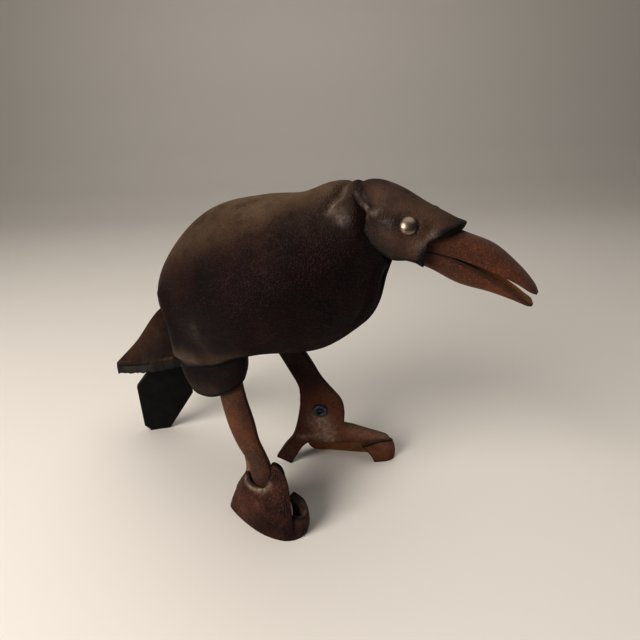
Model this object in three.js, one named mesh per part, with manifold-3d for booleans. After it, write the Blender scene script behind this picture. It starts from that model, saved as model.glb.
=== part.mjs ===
// A standing raven made of leather: one moulded hide for body and head, a folded suede beak,
// two tail pieces and two strap legs with moulded feet. It stands on its feet and its lower tail.
// Millimetres, +X the way the beak points, +Y the bird's left, +Z up.
import * as THREE from "three";
import { mergeVertices } from "three/addons/utils/BufferGeometryUtils.js";
import Module from "manifold-3d";

const wasm = await Module();
wasm.setup();

// Driving dimensions
const HIDE_THICKNESS = 3.0;
const BEAK_THICKNESS = 3.0;
const BEAK_TIP_THINNING = 0.62;
const TAIL_THICKNESS = 6.5;
const PLATE_THICKNESS = 4.0;
const STRAP_THICKNESS = 4.0;
const STRAP_GAP = 0.6;
const FOOT_THICKNESS = 3.2;
const WALL_THICKNESS = 2.8;
const CLEARANCE = 0.3;
const EYE_DIAMETER = 6.9;
const EYE_RISE = 2.0;
const EYE_PIN = 2.8;
const PEENED_HEAD = 0.8;
const EYELET_DIAMETER = 8.7;
const EYELET_RISE = 1.6;
const EYELET_BARREL = 5.0;
const EYELET_BORE = 3.7;
const ROUND_SEGMENTS = 16;

const leather = {
  hide: new THREE.MeshStandardMaterial({ color: 0x33231c, roughness: 0.48 }),
  russet: new THREE.MeshStandardMaterial({ color: 0x70402a, roughness: 0.92 }),
  beak: new THREE.MeshStandardMaterial({ color: 0x6b3a22, roughness: 0.9 }),
  foot: new THREE.MeshStandardMaterial({ color: 0x4a2c22, roughness: 0.75 }),
  tail: new THREE.MeshStandardMaterial({ color: 0x4d3020, roughness: 0.7 }),
  black: new THREE.MeshStandardMaterial({ color: 0x0d0c0c, roughness: 0.9 }),
};
const nickel = new THREE.MeshStandardMaterial({ color: 0x8a7f72, roughness: 0.35, metalness: 1 });
const gunmetal = new THREE.MeshStandardMaterial({ color: 0x3a3d42, roughness: 0.4, metalness: 1 });

const vec = (x, y, z) => new THREE.Vector3(x, y, z);
const spline = (points) =>
  new THREE.CatmullRomCurve3(points.map((p) => vec(...p)), false, "catmullrom", 0.5);

// Joining and cutting

function solidOf(geometry) {
  const bare = geometry.clone();
  bare.deleteAttribute("normal");
  bare.deleteAttribute("uv");
  const merged = mergeVertices(bare, 1e-4);
  const triVerts = new Uint32Array(merged.index.array);
  const vertProperties = new Float32Array(merged.attributes.position.array);
  const build = () => new wasm.Manifold(new wasm.Mesh({ numProp: 3, vertProperties, triVerts }));
  const made = build();
  if (made.volume() > 0) return made;
  for (let i = 0; i < triVerts.length; i += 3) {
    [triVerts[i + 1], triVerts[i + 2]] = [triVerts[i + 2], triVerts[i + 1]];
  }
  return build();
}

function geometryOf(solid) {
  const mesh = solid.getMesh();
  const geometry = new THREE.BufferGeometry();
  geometry.setAttribute("position", new THREE.BufferAttribute(mesh.vertProperties, mesh.numProp));
  geometry.setIndex(new THREE.BufferAttribute(mesh.triVerts, 1));
  geometry.computeVertexNormals();
  return geometry;
}

const union = (...solids) => solids.reduce((whole, piece) => whole.add(piece));

// Sheets: a box with many segments, bent into place

// place(along 0..1, across -1..1, depth 0..1) gives the point of the sheet.
function bentBox(alongSteps, acrossSteps, place) {
  const geometry = new THREE.BoxGeometry(1, 1, 1, alongSteps, acrossSteps, 1);
  const position = geometry.getAttribute("position");
  for (let i = 0; i < position.count; i++) {
    const along = position.getX(i) + 0.5;
    const across = 2 * position.getY(i);
    const depth = position.getZ(i) + 0.5;
    const point = place(along, across, depth);
    position.setXYZ(i, point.x, point.y, point.z);
  }
  return solidOf(geometry);
}

// The direction square to surface(along, across).
function squareTo(surface, along, across) {
  const STEP = 0.004;
  const a = THREE.MathUtils.clamp(along, STEP, 1 - STEP);
  const c = THREE.MathUtils.clamp(across, STEP - 1, 1 - STEP);
  const tangentAlong = surface(a + STEP, c).sub(surface(a - STEP, c));
  const tangentAcross = surface(a, c + STEP).sub(surface(a, c - STEP));
  return tangentAlong.cross(tangentAcross).normalize();
}

// A sheet whose outer face is surface(along, across) and whose thickness goes inwards.
function sheet(alongSteps, acrossSteps, surface, thicknessAt, inwards = 1, place = (point) => point) {
  return bentBox(alongSteps, acrossSteps, (along, across, depth) => {
    const inner = squareTo(surface, along, across).multiplyScalar(inwards);
    return place(surface(along, across).addScaledVector(inner, thicknessAt(along) * depth));
  });
}

// A sheet folded over the middle of the bird, from top, side and edge lines of its right half.
// Each station is [top x, top z, side x, side y, side z, edge x, edge y, edge z].
function foldedSurface(stations, sideAt = 0.55, curl = 1.8) {
  const top = spline(stations.map((s) => [s[0], 0, s[1]]));
  const side = spline(stations.map((s) => [s[2], s[3], s[4]]));
  const edge = spline(stations.map((s) => [s[5], s[6], s[7]]));
  return (along, across) => {
    const from = Math.abs(across);
    const t = top.getPoint(along);
    const s = side.getPoint(along);
    const e = edge.getPoint(along);
    let point;
    if (from < sideAt) {
      const angle = ((from / sideAt) * Math.PI) / 2;
      point = vec(
        s.x + (t.x - s.x) * Math.cos(angle),
        s.y * Math.sin(angle),
        s.z + (t.z - s.z) * Math.cos(angle),
      );
    } else {
      const down = (from - sideAt) / (1 - sideAt);
      point = vec(
        s.x + (e.x - s.x) * down,
        s.y + (e.y - s.y) * down ** curl,
        s.z + (e.z - s.z) * down,
      );
    }
    point.y *= -Math.sign(across) || 1;
    return point;
  };
}

// A round piece turned from a closed profile of [radius, height], with a place and a direction.
function turned(profile, centre, axis, segments) {
  const points = [...profile, profile[0]].map(([r, h]) => new THREE.Vector2(r, h));
  const geometry = new THREE.LatheGeometry(points, segments);
  geometry.applyQuaternion(new THREE.Quaternion().setFromUnitVectors(vec(0, 1, 0), axis));
  geometry.translate(centre.x, centre.y, centre.z);
  return solidOf(geometry);
}

const pinProfile = (radius, outwards, inwards) =>
  [[0, outwards], [radius, outwards], [radius, -inwards], [0, -inwards]];

// The hide: body, hood and cuffs

const BODY_STATIONS = [
  [-69, 114, -64, 22, 105, -57, 27, 88],
  [-72.3, 127.5, -58, 30, 114, -50, 29.5, 87],
  [-64, 147, -48.5, 37, 118, -42, 31, 88.5],
  [-41, 167, -30, 42, 123, -24, 31.5, 95.5],
  [-14, 174, -2, 42.5, 132, 0, 27, 104.5],
  [10, 176.5, 20, 37, 142, 22, 9, 108],
  [29, 181.9, 37, 25, 152, 44, 1.2, 125],
  [42, 179, 48, 13.5, 164, 53.5, 1.2, 149],
];
const HOOD_STATIONS = [
  [34.5, 181.3, 45, 15, 173, 48.5, 16.5, 166],
  [43, 183.6, 50, 17.5, 171, 53, 17, 160],
  [54, 181.4, 58, 17.5, 169, 61, 15.3, 155.3],
  [67, 175.4, 68, 15.5, 165, 68.5, 13.3, 155.2],
  [84.2, 169.2, 74.3, 12.4, 163, 72.8, 12, 153.6],
];

// The cuffs hang below the flanks' rear corners and wrap the tops of the legs.
// Points go round the right leg from behind to the front, along the upper and the lower rim.
const CUFF_TOP = [
  [-54.5, -19, 90], [-57.5, -24, 89], [-51, -29.8, 90.5], [-38, -30.4, 94], [-25, -30.4, 98],
  [-15, -29.3, 102], [-10.2, -25.5, 103], [-13, -20, 103],
];
const CUFF_BOTTOM = [
  [-49, -19, 76.5], [-53.5, -24, 75.5], [-46.5, -28.2, 72], [-38.5, -28.8, 71.3], [-29.5, -29, 73.7],
  [-20, -28.3, 79], [-13.5, -24.5, 85], [-15.5, -19, 87],
];
const CUFF_BULGE = 1.4;

// The left leg is splayed, so its cuff is wider and opens outwards.
const LEFT_CUFF_TOP = [
  [-54, 19, 90], [-57, 24, 89], [-51, 30, 90.5], [-38, 31, 93.5], [-25, 33, 96],
  [-14, 34.5, 99], [-7.5, 33, 101], [-7, 28, 103],
];
const LEFT_CUFF_BOTTOM = [
  [-46, 19, 79], [-48, 24, 78], [-42, 30, 76.5], [-33, 34.5, 76], [-25, 37.5, 78],
  [-15.5, 40, 82.5], [-8, 38.5, 88], [-6.5, 33, 91],
];

// A strip that stands between two rims and bulges a little between them.
function rimmedSurface(bottom, top, bulge, middle) {
  const low = spline(bottom);
  const high = spline(top);
  return (along, across) => {
    const up = (across + 1) / 2;
    const point = low.getPoint(along).lerp(high.getPoint(along), up);
    const outwards = vec(point.x - middle[0], point.y - middle[1], 0).normalize();
    return point.addScaledVector(outwards, bulge * 4 * up * (1 - up));
  };
}

function cuffSolid(side) {
  const rims = side < 0 ? [CUFF_BOTTOM, CUFF_TOP] : [LEFT_CUFF_BOTTOM, LEFT_CUFF_TOP];
  const surface = rimmedSurface(...rims, CUFF_BULGE, [-30, 20 * side]);
  return sheet(14, 3, surface, () => HIDE_THICKNESS, side);
}

const hoodSurface = foldedSurface(HOOD_STATIONS, 0.6, 1.4);

// Where the eyes sit on the hood, as along and across of its surface, and the axis of each.
const EYE_PLACE = [0.747, 0.45];

function eyeAxis(side) {
  const across = -side * EYE_PLACE[1];
  return [hoodSurface(EYE_PLACE[0], across), squareTo(hoodSurface, EYE_PLACE[0], across).negate()];
}

function hideSolid() {
  const thickness = () => HIDE_THICKNESS;
  const body = sheet(20, 24, foldedSurface(BODY_STATIONS), thickness);
  const hood = sheet(12, 16, hoodSurface, thickness);
  const cuffs = [-1, 1].map((side) => cuffSolid(side).subtract(strapSolid(side, CLEARANCE)));
  const whole = union(body, hood, ...cuffs);
  const pin = pinProfile(EYE_PIN / 2 + CLEARANCE, HIDE_THICKNESS, 2 * HIDE_THICKNESS);
  return [-1, 1].reduce(
    (hide, side) => hide.subtract(turned(pin, ...eyeAxis(side), ROUND_SEGMENTS)),
    whole,
  );
}

// The beak

const UPPER_BEAK_STATIONS = [
  [60, 170, 60, 8, 163, 61, 7.6, 157],
  [74, 168.2, 73, 7.2, 162, 74, 7, 157.5],
  [84, 165.5, 84, 6.6, 160.5, 85.5, 6.4, 155.2],
  [95.5, 162, 95, 6.2, 156.5, 96, 5.8, 151.8],
  [105.2, 154.9, 105, 4.2, 151.5, 105, 4.2, 148.8],
  [112.4, 146.5, 112.2, 1.8, 145.8, 112, 1.9, 145.2],
];
const LOWER_BEAK_STATIONS = [
  [62, 152, 62, 7, 156, 62, 7.4, 158.5],
  [72, 150.2, 73, 6.6, 154, 74, 7, 158],
  [84, 145.4, 84.5, 5.4, 149.5, 85.5, 6.2, 154.4],
  [96, 143.7, 96, 4.4, 147, 96.5, 5.2, 151],
  [104.5, 142.8, 105, 3.4, 145, 105, 3.8, 147.2],
  [110.5, 140.8, 111, 1.6, 141.6, 111.6, 2, 142.6],
];

function beakSolid() {
  const thin = (along) => BEAK_THICKNESS * (1 - BEAK_TIP_THINNING * along ** 3);
  const upper = sheet(12, 12, foldedSurface(UPPER_BEAK_STATIONS, 0.6, 1.2), thin);
  const lower = sheet(10, 8, foldedSurface(LOWER_BEAK_STATIONS, 0.6, 1.2), thin, -1);
  return union(upper, lower);
}

// The tail

const TAIL_STATIONS = [
  [-56, 103, -56, 17.6, 95, -58, 23.2, 88],
  [-78, 106.5, -76, 17, 94, -72, 23, 82],
  [-95, 103.5, -92, 14.5, 88, -88, 21, 75],
  [-126, 74.5, -122, 7.5, 67, -117, 11.5, 62],
  [-156, 49.5, -156, 2, 48.5, -154, 3.5, 48],
];

// The tail's edges are cut upright, so its thickness runs straight down.
function tailUpperSolid() {
  const surface = foldedSurface(TAIL_STATIONS, 0.6, 1.2);
  return bentBox(10, 12, (along, across, depth) => {
    const point = surface(along, across);
    point.z -= TAIL_THICKNESS * depth;
    return point;
  });
}

// The lower tail is a flat plate that leans forwards and is cut level at its foot.
// The right half of its outline, from the foot up: half a width and how far up the plate.
const TAIL_LOWER_OUTLINE = [[6, -3], [7, 0], [19.4, 39], [12, 58], [8, 98.8]];
const TAIL_LOWER_BASE = [-125.3, -0.2, 1.7];
const TAIL_LOWER_UP = [0.385, 0.03, 0.92];
const TAIL_LOWER_FACE = [0.718, -0.646, -0.258];

function tailLowerSolid() {
  const right = TAIL_LOWER_OUTLINE.map(([half, up]) => new THREE.Vector2(half, up));
  const left = right.map(({ x, y }) => new THREE.Vector2(-x, y)).reverse();
  const shape = new THREE.Shape([...right, ...left]);
  const plate = new THREE.ExtrudeGeometry(shape, { depth: PLATE_THICKNESS, bevelEnabled: false });
  const up = vec(...TAIL_LOWER_UP).normalize();
  const face = vec(...TAIL_LOWER_FACE);
  const wide = new THREE.Vector3().crossVectors(up, face).normalize();
  const out = new THREE.Vector3().crossVectors(wide, up).normalize();
  const frame = new THREE.Matrix4().makeBasis(wide, up, out);
  frame.setPosition(vec(...TAIL_LOWER_BASE).addScaledVector(out, -PLATE_THICKNESS));
  return solidOf(plate.applyMatrix4(frame)).trimByPlane([0, 0, 1], 0);
}

// Legs and feet

// Each leg is a flat inner strip, cut in one with the ankle and the toes, and a suede strap outside it.
// Both, and the outer wall of the foot, are given in the foot's own frame: how far ahead of the ankle,
// how far outwards from the strip's inner face, and how high. A heading and a lean stand them up.
const LEGS = {
  right: {
    ankle: [-14, -20.8],
    heading: 0,
    twist: 0,
    lean: 3.5,
    shank: [
      [97, -18.5, -7], [84, -16.8, -6.2], [72, -15.2, -3.5], [60, -12.5, 0.5], [50, -10, 2], [46, -9, 3],
    ],
    front: [[3, 46], [4, 42], [10, 36], [18.5, 30], [19.5, 22]],
    toe: [[20, 14]],
    under: [[20, 12.5], [6, 13.5], [-3, 14], [-7, 11], [-9, 4.5], [-10, 0]],
    rear: [[-17, 3], [-13, 13], [-9, 20], [-4.5, 28], [-5, 38], [-9, 46]],
    strap: [
      [-14, 97, 7.8], [-11.4, 85, 8.2], [-8.2, 72, 8.6], [-3.8, 60, 9], [-0.5, 50, 8.2], [3.8, 43, 7.4],
      [7.4, 37, 7], [8.8, 32, 6.8], [9.2, 28, 6],
    ],
    wallBottom: [
      [-14, 0.5], [-16.5, 4.5], [-15, 8.2], [-8.6, 10.8], [0, 13], [8, 14.3], [14, 14.7], [19, 14.4],
      [23.5, 13.6], [27, 12.4], [29.6, 10.6], [31.6, 8.4], [33.2, 4.8], [33.2, 0.3], [30.5, -3.8],
      [25.5, -6.8],
    ],
    wallTop: [
      [-4.5, 0.8, 26], [-3, 3.5, 30], [0.8, 7, 34.5], [3, 8.8, 29], [6, 10, 25.5], [11, 10, 25.8],
      [15.5, 8.6, 29.5], [17.3, 6.6, 37.5], [20.5, 4.6, 40], [24, 4.6, 36.5], [25.9, 5.4, 27],
      [27.8, 6.2, 12.8], [33, 5.5, 12.7], [32.4, 1, 13.3], [28.7, -3, 13.5], [24.6, -6, 13.5],
    ],
  },
  left: {
    ankle: [-5.2, 32.6],
    heading: 0.5854,
    twist: -0.4,
    lean: 0,
    shank: [
      [96, -31, -15.5], [84, -26.6, -9.7], [72, -19.6, -3.3], [60, -13.3, 2.8], [50, -12, 10.2],
      [46, -12.2, 13],
    ],
    front: [[13, 46], [14.6, 42.2], [15.4, 36.3], [15, 27.6]],
    toe: [[20.7, 26], [26.7, 23.6], [38.2, 19.2], [43, 16.8], [45.7, 12.5]],
    under: [
      [45.5, 9], [26.7, 12.5], [8.7, 13.5], [-5.3, 15], [-9.3, 13.5], [-12.4, 10.8], [-15.8, 5.5],
      [-19.8, 0],
    ],
    rear: [[-28.8, 4.5], [-22.6, 13.6], [-17.8, 19.6], [-14.8, 28.6], [-12.4, 41.1], [-12.2, 46]],
    strap: [
      [-25.3, 97, 8], [-18.6, 82, 8], [-13, 72, 7.9], [-7, 60, 7.6], [-4, 50, 7.4], [-1, 41, 7],
      [0.5, 34, 6.8], [0.5, 28, 6],
    ],
    wallBottom: [
      [-12, 3.5, 14], [-13.5, 7.5, 13], [-11, 12, 9], [-6, 13.2, 2], [0, 13.7], [4, 13.3], [8, 12.9],
      [12, 12.3], [16, 11.6], [21, 10.7], [28, 9.7], [36, 8.9], [42.5, 7], [46.2, 3.6], [45.8, -0.2],
      [40.5, -2.9], [32, -3.3],
    ],
    wallTop: [
      [-11, 3, 24], [-10.5, 6.5, 28], [-8.5, 10, 33], [-6, 11, 30], [-2.5, 11.3, 26], [3, 11.3, 26],
      [6.8, 10.6, 29.5], [8.6, 8.6, 36], [11.5, 6, 37], [14, 5.4, 32], [15.5, 6, 20], [21, 6.6, 13.5],
      [34, 6.8, 13], [42, 5.6, 13.2], [45.4, 2.4, 14], [44.4, -0.7, 15], [39, -2.8, 16.5], [27.3, -3.1, 16.5],
    ],
  },
};
const EYELET_HEIGHT = 38.4;
const TWIST_HEIGHTS = [56, 88];
const LEAN_HEIGHTS = [45, 92];
const SPUR_BEND = 2.2;
const SPUR_HEIGHT = 15;
// The foot's wall bulges away from a point that far ahead of the ankle and that far outwards.
const WALL_BULGE = 1.2;
const WALL_MIDDLE = [10, 3];
// Where a wall's lower rim has no height of its own, it starts this far down and is cut level.
const BELOW_GROUND = 0.5;
// The strap's edges are that share thinner than its middle, and its tongue starts that far along it.
const STRAP_CROWN = 0.5;
const TONGUE_START = 0.9;
const TONGUE_ROUNDING = 0.95;
const TONGUE_CROWDING = 1.4;
const legOf = (side) => (side < 0 ? LEGS.right : LEGS.left);

// How far ahead of the ankle the middle of the strap is at a height.
function strapMiddle(strap, height) {
  const upper = strap.findLastIndex((knot) => knot[1] >= height);
  const [ahead, up] = strap[Math.max(upper, 0)];
  const [nextAhead, nextUp] = strap[Math.min(upper + 1, strap.length - 1)];
  return nextUp === up ? ahead : ahead + ((nextAhead - ahead) * (up - height)) / (up - nextUp);
}

// Gives the function that takes a point of the foot's own frame to its place on the bird.
// Above the ankle the leg twists back towards the bird's own heading.
function standing(side) {
  const { ankle, heading, twist, lean, strap } = legOf(side);
  const turn = (angle, along, out) => vec(
    Math.cos(angle) * along - Math.sin(angle) * side * out,
    Math.sin(angle) * along + Math.cos(angle) * side * out,
    0,
  );
  return ({ x, y, z }) => {
    const middle = strapMiddle(strap, z);
    const angle = heading + twist * THREE.MathUtils.smoothstep(z, ...TWIST_HEIGHTS);
    const leanHere = lean * THREE.MathUtils.smoothstep(z, ...LEAN_HEIGHTS);
    return vec(ankle[0], ankle[1], z)
      .add(turn(heading, middle, FOOT_THICKNESS - leanHere))
      .add(turn(angle, x - middle, y - FOOT_THICKNESS));
  };
}

function eyeletAxis(side) {
  const { ankle, heading } = legOf(side);
  const inner = vec(Math.sin(heading) * side, -Math.cos(heading) * side, 0);
  return [vec(ankle[0], ankle[1], EYELET_HEIGHT), inner];
}

// The strip above the ankle, from stations of [height, rear edge, front edge].
function shankSolid(side) {
  const stations = spline(legOf(side).shank);
  const place = standing(side);
  return bentBox(12, 2, (along, across, depth) => {
    const { x: height, y: rear, z: front } = stations.getPoint(along);
    const ahead = THREE.MathUtils.lerp(rear, front, (across + 1) / 2);
    return place({ x: ahead, y: FOOT_THICKNESS * depth, z: height });
  });
}

// The flat part of the strip, with the ankle and both toes.
function soleSolid(side) {
  const leg = legOf(side);
  const points = (list) => list.map(([ahead, up]) => new THREE.Vector2(ahead, up));
  const [top, ...front] = points(leg.front);
  const [arch, ...under] = points(leg.under);
  const [heel, ...rear] = points(leg.rear);
  const shape = new THREE.Shape().moveTo(top.x, top.y);
  shape.splineThru(front);
  shape.splineThru(points(leg.toe));
  shape.lineTo(arch.x, arch.y);
  shape.splineThru(under);
  shape.lineTo(heel.x, heel.y);
  shape.splineThru(rear);
  const strip = new THREE.ExtrudeGeometry(shape, {
    depth: FOOT_THICKNESS,
    bevelEnabled: false,
    curveSegments: 2,
  });
  // The outline's second axis is the height, and the back toe bends inwards towards its tip.
  const place = standing(side);
  const position = strip.getAttribute("position");
  for (let i = 0; i < position.count; i++) {
    const ahead = position.getX(i);
    const up = position.getY(i);
    const bend = ahead < arch.x / 2 ? SPUR_BEND * Math.max(0, 1 - up / SPUR_HEIGHT) ** 2 : 0;
    const point = place({ x: ahead, y: position.getZ(i) - bend, z: up });
    position.setXYZ(i, point.x, point.y, point.z);
  }
  return solidOf(strip);
}

function footSolid(side) {
  const leg = legOf(side);
  const bottom = leg.wallBottom.map(([ahead, outwards, up = -BELOW_GROUND]) => [ahead, outwards, up]);
  const surface = rimmedSurface(bottom, leg.wallTop, WALL_BULGE, WALL_MIDDLE);
  const steps = 2 * (leg.wallTop.length - 1);
  const wall = sheet(steps, 3, surface, () => WALL_THICKNESS, 1, standing(side));
  const reach = FOOT_THICKNESS + CLEARANCE;
  const pin = pinProfile(EYELET_BARREL / 2 + CLEARANCE, reach, reach);
  const hole = turned(pin, ...eyeletAxis(side), ROUND_SEGMENTS);
  const strip = union(soleSolid(side), shankSolid(side)).subtract(hole);
  return union(wall.subtract(strapSolid(side, CLEARANCE)), strip).trimByPlane([0, 0, 1], 0);
}

// The suede strap lies outside the strip, is rounded on its outer face and ends in a rounded tongue.
// Grown by a clearance it is the room that the foot's wall and the hide leave for it.
function strapSolid(side, grown = 0) {
  const line = spline(legOf(side).strap.map(([ahead, up, half]) => [ahead, half, up]));
  const place = standing(side);
  return bentBox(14, 4, (along, across, depth) => {
    const at = 1 - (1 - along) ** TONGUE_CROWDING;
    const knot = line.getPoint(at);
    const tangent = line.getTangent(at).setY(0).normalize();
    const inTongue = Math.max(0, (at - TONGUE_START) / (1 - TONGUE_START));
    const rounding = Math.sqrt(1 - (TONGUE_ROUNDING * inTongue) ** 2);
    const off = (knot.y * rounding + grown) * across;
    const thickness = STRAP_THICKNESS * (1 - STRAP_CROWN * across ** 4) + 2 * grown;
    return place({
      x: knot.x - tangent.z * off,
      y: FOOT_THICKNESS + STRAP_GAP - grown + depth * thickness,
      z: knot.z + tangent.x * off - grown * at,
    });
  });
}

// A domed cap outside the hood, a pin through the hide and a small peened head inside.
function eyeSolid(side) {
  const cap = EYE_DIAMETER / 2;
  const pin = EYE_PIN / 2;
  const head = EYE_PIN * 0.8;
  const inside = -(HIDE_THICKNESS + 3 * CLEARANCE);
  const dome = [0, 0.25, 0.5, 0.75, 0.95].map((turn) => [
    cap * Math.sin((turn * Math.PI) / 2),
    CLEARANCE + (EYE_RISE - CLEARANCE) * Math.cos((turn * Math.PI) / 2),
  ]);
  const shaft = [[cap, CLEARANCE], [pin, CLEARANCE], [pin, inside], [head, inside]];
  const peened = [[head, inside - PEENED_HEAD], [0, inside - PEENED_HEAD]];
  return turned([...dome, ...shaft, ...peened], ...eyeAxis(side), ROUND_SEGMENTS);
}

// A rolled flange on the strip's inner face and a barrel through the strip.
function eyeletSolid(side) {
  const bore = EYELET_BORE / 2;
  const barrel = EYELET_BARREL / 2;
  const rim = EYELET_DIAMETER / 2;
  const end = -(FOOT_THICKNESS - CLEARANCE);
  const rolled = (EYELET_RISE - CLEARANCE) / 2;
  const profile = [
    [bore, end], [bore, EYELET_RISE - rolled], [bore + rolled, EYELET_RISE], [rim - rolled, EYELET_RISE],
    [rim, EYELET_RISE - rolled], [rim, CLEARANCE], [barrel, CLEARANCE], [barrel, end],
  ];
  return turned(profile, ...eyeletAxis(side), ROUND_SEGMENTS);
}

// Assembly

const raven = new THREE.Group();

function addPiece(name, solid, material) {
  const mesh = new THREE.Mesh(geometryOf(solid), material);
  mesh.name = name;
  raven.add(mesh);
}

addPiece("hide", hideSolid(), leather.hide);
addPiece("beak", beakSolid(), leather.beak);
addPiece("tail_upper", tailUpperSolid(), leather.tail);
addPiece("tail_lower", tailLowerSolid(), leather.black);
for (const [side, name] of [[-1, "right"], [1, "left"]]) {
  addPiece(`foot_${name}`, footSolid(side), leather.foot);
  addPiece(`leg_${name}`, strapSolid(side), leather.russet);
  addPiece(`ankle_eyelet_${name}`, eyeletSolid(side), gunmetal);
  addPiece(`eye_rivet_${name}`, eyeSolid(side), nickel);
}

// The frame's origin is the middle of the box around the bird, at the level it stands on.
const box = new THREE.Box3().setFromObject(raven);
raven.position.set(-(box.min.x + box.max.x) / 2, -(box.min.y + box.max.y) / 2, -box.min.z);
const figure = new THREE.Group();
figure.add(raven);

export default figure;
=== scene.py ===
"""A standing raven made of leather: a moulded hide for body and head, a folded suede beak, two tail
pieces, two strap legs and two moulded feet, with riveted eyes and ankle eyelets.

The shapes are worked out in millimetres in the bird's own frame: x the way the beak points, y the
bird's left, z up, and the origin between the feet.
"""

import math

import bmesh
import bpy
import numpy as np
from bpy.props import FloatProperty, FloatVectorProperty, PointerProperty
from mathutils import Euler, Matrix, Vector, kdtree


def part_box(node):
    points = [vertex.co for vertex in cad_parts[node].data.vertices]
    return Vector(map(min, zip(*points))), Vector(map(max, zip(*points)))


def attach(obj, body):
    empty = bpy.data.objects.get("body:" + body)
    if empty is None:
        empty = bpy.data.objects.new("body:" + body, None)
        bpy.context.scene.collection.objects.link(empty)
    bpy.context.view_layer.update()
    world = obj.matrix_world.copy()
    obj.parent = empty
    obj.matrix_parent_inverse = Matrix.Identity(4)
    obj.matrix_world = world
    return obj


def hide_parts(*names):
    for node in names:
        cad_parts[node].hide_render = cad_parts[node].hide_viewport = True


bl_info = {
    "name": "Leather Raven",
    "version": (1, 0, 0),
    "blender": (4, 5, 0),
    "location": "3D View > Sidebar > Raven",
    "description": "Builds a standing raven of moulded leather, with its studio",
    "category": "Add Mesh",
}

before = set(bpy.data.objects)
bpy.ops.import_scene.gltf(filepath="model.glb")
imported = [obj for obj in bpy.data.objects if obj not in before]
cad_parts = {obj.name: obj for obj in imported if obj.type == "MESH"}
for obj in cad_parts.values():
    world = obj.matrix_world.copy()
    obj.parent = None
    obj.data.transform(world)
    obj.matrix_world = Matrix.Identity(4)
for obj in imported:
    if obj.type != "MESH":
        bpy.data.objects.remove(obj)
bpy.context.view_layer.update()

MM = 0.001
BEAK_TIP_AHEAD = 112.4
RIGHT, LEFT = -1, 1
SIDES = {"right": RIGHT, "left": LEFT}


def bird_origin():
    """Where the bird's own origin lies in the frame, in millimetres, from the solids' boxes."""
    low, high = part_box("hide")
    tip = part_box("beak")[1].x
    return np.array([tip / MM - BEAK_TIP_AHEAD, (low.y + high.y) / 2 / MM, 0.0])


ORIGIN = bird_origin()


# Curves and surfaces

def curve(points, t):
    """Points at t, from 0 to 1, on the smooth line through the given points."""
    knots = np.array(points, float)
    spans = len(knots) - 1
    ends = np.vstack([2 * knots[0] - knots[1], knots, 2 * knots[-1] - knots[-2]])
    reach = np.clip(t, 0, 1) * spans
    span = np.minimum(reach.astype(int), spans - 1)
    f = (reach - span)[:, None]
    before, start, end, after = (ends[span + k] for k in range(4))
    leaving, arriving = (end - before) / 2, (after - start) / 2
    return (
        start
        + leaving * f
        + (3 * (end - start) - 2 * leaving - arriving) * f**2
        + (2 * (start - end) + leaving + arriving) * f**3
    )


def smooth(points, steps):
    """The smooth line through the given points, as a list of steps + 1 points."""
    return curve(points, np.linspace(0, 1, steps + 1))


def unit(vectors):
    return vectors / np.linalg.norm(vectors, axis=-1, keepdims=True)


def folded(stations, side_at=0.55, curl=1.8):
    """A sheet folded over the bird's middle, from the top, side and edge lines of its right half.

    Each station is top x, top z, side x, side y, side z, edge x, edge y, edge z.
    """
    top_line = [(s[0], 0, s[1]) for s in stations]
    side_line = [s[2:5] for s in stations]
    edge_line = [s[5:8] for s in stations]

    def surface(along, across):
        out = np.abs(across)
        top, side, edge = (curve(line, along) for line in (top_line, side_line, edge_line))
        angle = np.minimum(out / side_at, 1) * math.pi / 2
        down = np.clip((out - side_at) / (1 - side_at), 0, 1)
        points = np.empty((len(along), 3))
        for k in (0, 2):
            over = side[:, k] + (top[:, k] - side[:, k]) * np.cos(angle)
            points[:, k] = np.where(out < side_at, over, side[:, k] + (edge[:, k] - side[:, k]) * down)
        below = side[:, 1] + (edge[:, 1] - side[:, 1]) * down**curl
        points[:, 1] = np.where(out < side_at, side[:, 1] * np.sin(angle), below)
        points[:, 1] *= np.where(across > 0, -1.0, 1.0)
        return points

    return surface


def rimmed(bottom, top, bulge, middle):
    """A strip between two rims, which bulges a little between them, away from the middle."""
    def surface(along, across):
        up = ((across + 1) / 2)[:, None]
        points = curve(bottom, along) * (1 - up) + curve(top, along) * up
        away = points - np.array([middle[0], middle[1], 0])
        away[:, 2] = 0
        return points + unit(away) * bulge * 4 * up * (1 - up)

    return surface


def square_to(surface, along, across):
    """The directions square to a surface."""
    step = 0.004
    a = np.clip(along, step, 1 - step)
    c = np.clip(across, step - 1, 1 - step)
    ahead = surface(a + step, c) - surface(a - step, c)
    aside = surface(a, c + step) - surface(a, c - step)
    return unit(np.cross(ahead, aside))


def from_line(points, line):
    """How far each point is from a line of straight stretches, in millimetres."""
    line = np.array(line, float)
    best = np.full(len(points), np.inf)
    for start, end in zip(line, line[1:] if len(line) > 1 else line):
        run = end - start
        t = np.clip((points - start) @ run / max(run @ run, 1e-9), 0, 1)
        best = np.minimum(best, np.linalg.norm(points - start - t[:, None] * run, axis=1))
    return best


def marks(points, features):
    """The sum of soft marks, each a line, a half-width and a height, on the points."""
    total = np.zeros(len(points))
    for line, width, height in features:
        total += height * np.exp(-((from_line(points, line) / width) ** 2))
    return total


def mirrored(features, share=1.0):
    """The same marks on the bird's other side, at a share of their height."""
    return [
        ([(x, -y, z) for x, y, z in line], width, height * share) for line, width, height in features
    ]


def thick(surface, thickness_at, inwards=1.0, relief=()):
    """Places a sheet: its outer face on the surface, its thickness inwards, its relief outwards."""
    def place(along, across, depth):
        outer = surface(along, across)
        inner = square_to(surface, along, across) * inwards
        sink = thickness_at(along) * depth - marks(outer, relief)
        return outer + inner * sink[:, None]

    return place


# Meshes

GRAIN, EDGE, FLESH = 0, 1, 2
RIM = 0.5


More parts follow.
